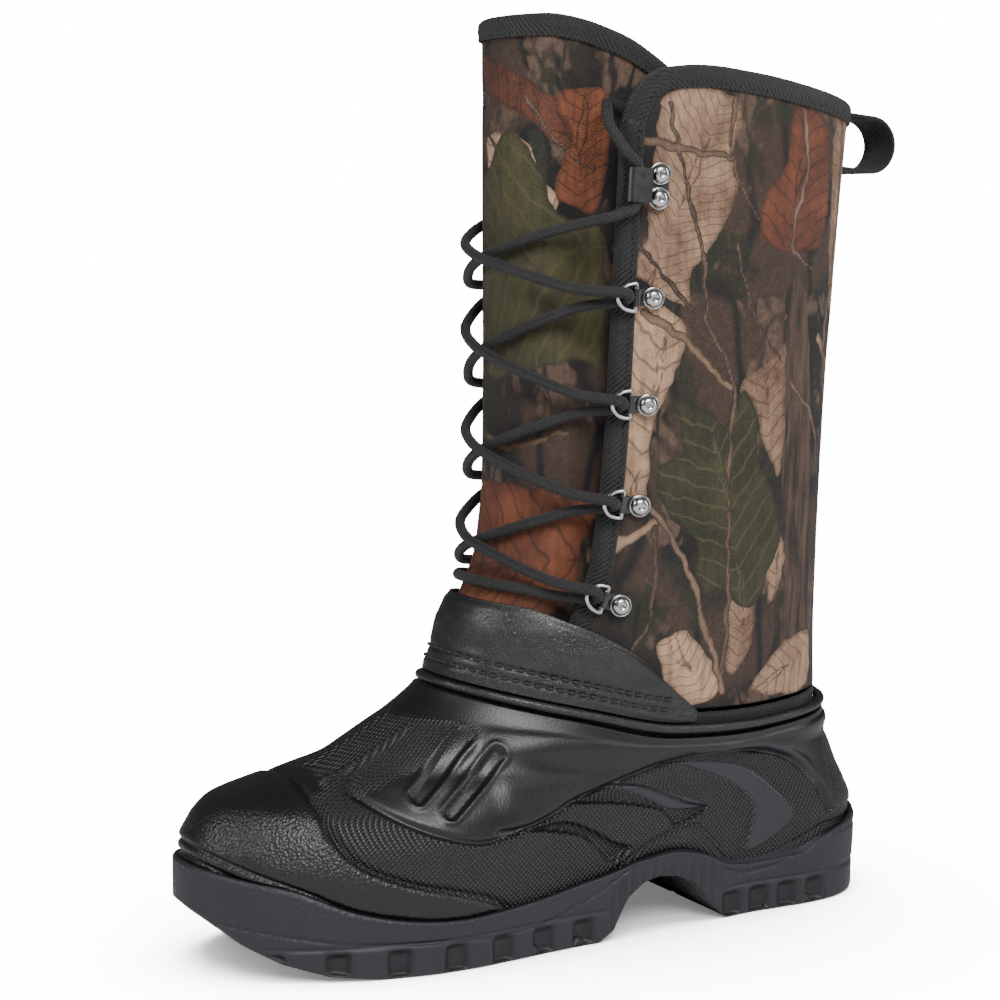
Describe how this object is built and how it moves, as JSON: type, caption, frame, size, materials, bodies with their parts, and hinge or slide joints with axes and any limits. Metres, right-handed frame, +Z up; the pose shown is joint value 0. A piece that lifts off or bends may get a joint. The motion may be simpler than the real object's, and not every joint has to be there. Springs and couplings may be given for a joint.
{
  "type": "insulated hunting boot",
  "caption": "Tall insulated lace-up boot: moulded foam shell on a lugged outsole, printed fabric shaft, padded tongue, laced rings and speed hooks, pull loop.",
  "frame": {"origin": "middle of the bounding box, on the ground under the sole", "axes": "+Z up, toe towards -Y, the wearer's left towards +X, so +X is the outer side of this left boot"},
  "size_m": [0.1202, 0.3424, 0.3865],
  "materials": {
    "outsole_rubber": "dark grey moulded rubber, matt with a faint sheen",
    "shell_foam": "black moulded foam rubber, satin, pebbled and dotted in places",
    "printed_fabric": "woven polyester printed with brown leaves, bark and twigs",
    "fleece": "dark grey fleece over foam",
    "felt": "grey felt",
    "black_twill": "black ribbed binding",
    "webbing": "black woven webbing",
    "leather": "black grained coated leather, semi-gloss",
    "bright_metal": "bright plated steel",
    "dark_metal": "gunmetal plated steel",
    "lace_cord": "black round braided cord",
    "lace_tip": "black heat-shrunk plastic"
  },
  "bodies": {
    "root": {"outsole": "outsole_rubber", "moulded_shell": "shell_foam", "insulated_bootie": "fleece", "insole": "felt", "collar_bead": "shell_foam", "collar_welt": "black_twill", "shaft_quarter_lateral": "printed_fabric", "shaft_insulation_lateral": "fleece", "shaft_quarter_medial": "printed_fabric", "shaft_insulation_medial": "fleece", "top_binding": "black_twill", "back_stay": "webbing", "ankle_gaiter": "leather", "tongue_face": "printed_fabric", "tongue_insulation": "fleece", "tongue_binding": "black_twill", "gusset_lateral": "black_twill", "gusset_medial": "black_twill", "ring_clip_lateral_2": "dark_metal", "ring_rivet_lateral_2": "bright_metal", "ring_clip_lateral_3": "dark_metal", "ring_rivet_lateral_3": "bright_metal", "ring_clip_lateral_4": "dark_metal", "ring_rivet_lateral_4": "bright_metal", "ring_clip_lateral_5": "dark_metal", "ring_rivet_lateral_5": "bright_metal", "speed_hook_lateral": "dark_metal", "hook_rivet_lateral_upper": "bright_metal", "hook_rivet_lateral_lower": "bright_metal", "ring_clip_medial_2": "dark_metal", "ring_rivet_medial_2": "bright_metal", "ring_clip_medial_3": "dark_metal", "ring_rivet_medial_3": "bright_metal", "ring_clip_medial_4": "dark_metal", "ring_rivet_medial_4": "bright_metal", "ring_clip_medial_5": "dark_metal", "ring_rivet_medial_5": "bright_metal", "speed_hook_medial": "dark_metal", "hook_rivet_medial_upper": "bright_metal", "hook_rivet_medial_lower": "bright_metal", "pull_loop_base": "webbing", "lace": "lace_cord", "aglet_lateral": "lace_tip", "aglet_medial": "lace_tip"},
    "d_ring_lateral_2": {"d_ring_lateral_2": "bright_metal"},
    "d_ring_lateral_3": {"d_ring_lateral_3": "bright_metal"},
    "d_ring_lateral_4": {"d_ring_lateral_4": "bright_metal"},
    "d_ring_lateral_5": {"d_ring_lateral_5": "bright_metal"},
    "d_ring_medial_2": {"d_ring_medial_2": "bright_metal"},
    "d_ring_medial_3": {"d_ring_medial_3": "bright_metal"},
    "d_ring_medial_4": {"d_ring_medial_4": "bright_metal"},
    "d_ring_medial_5": {"d_ring_medial_5": "bright_metal"},
    "pull_loop": {"pull_loop": "webbing"}
  },
  "joints": [
    {"name": "d_ring_lateral_2_tilt", "type": "hinge", "parent": "root", "child": "d_ring_lateral_2", "pos_m": [0.05219, 0.00709, 0.2696], "axis": [0.0288, 0.0366, 0.9989], "range_deg": [-2.5, 6]},
    {"name": "d_ring_lateral_3_tilt", "type": "hinge", "parent": "root", "child": "d_ring_lateral_3", "pos_m": [0.05086, 0.00545, 0.22554], "axis": [0.0345, 0.0406, 0.9986], "range_deg": [-2.5, 6]},
    {"name": "d_ring_lateral_4_tilt", "type": "hinge", "parent": "root", "child": "d_ring_lateral_4", "pos_m": [0.04892, 0.00289, 0.18405], "axis": [0.06, 0.0928, 0.9939], "range_deg": [-2.5, 6]},
    {"name": "d_ring_lateral_5_tilt", "type": "hinge", "parent": "root", "child": "d_ring_lateral_5", "pos_m": [0.04645, -0.00421, 0.1445], "axis": [0.0537, 0.3492, 0.9355], "range_deg": [-2.5, 6]},
    {"name": "d_ring_medial_2_tilt", "type": "hinge", "parent": "root", "child": "d_ring_medial_2", "pos_m": [-0.05215, 0.0071, 0.26954], "axis": [0.0371, -0.0371, -0.9986], "range_deg": [-2.5, 6]},
    {"name": "d_ring_medial_3_tilt", "type": "hinge", "parent": "root", "child": "d_ring_medial_3", "pos_m": [-0.05027, 0.00557, 0.22547], "axis": [0.0448, -0.0413, -0.9981], "range_deg": [-2.5, 6]},
    {"name": "d_ring_medial_4_tilt", "type": "hinge", "parent": "root", "child": "d_ring_medial_4", "pos_m": [-0.04819, 0.00299, 0.18406], "axis": [0.0588, -0.0926, -0.994], "range_deg": [-2.5, 6]},
    {"name": "d_ring_medial_5_tilt", "type": "hinge", "parent": "root", "child": "d_ring_medial_5", "pos_m": [-0.04521, -0.00424, 0.14423], "axis": [0.0947, -0.3499, -0.932], "range_deg": [-2.5, 6]},
    {"name": "pull_loop_hinge", "type": "hinge", "parent": "root", "child": "pull_loop", "pos_m": [-0.00003, 0.14222, 0.33661], "axis": [1, 0, 0], "range_deg": [-20, 20], "stiffness_Nm_per_rad": 0.02}
  ]
}
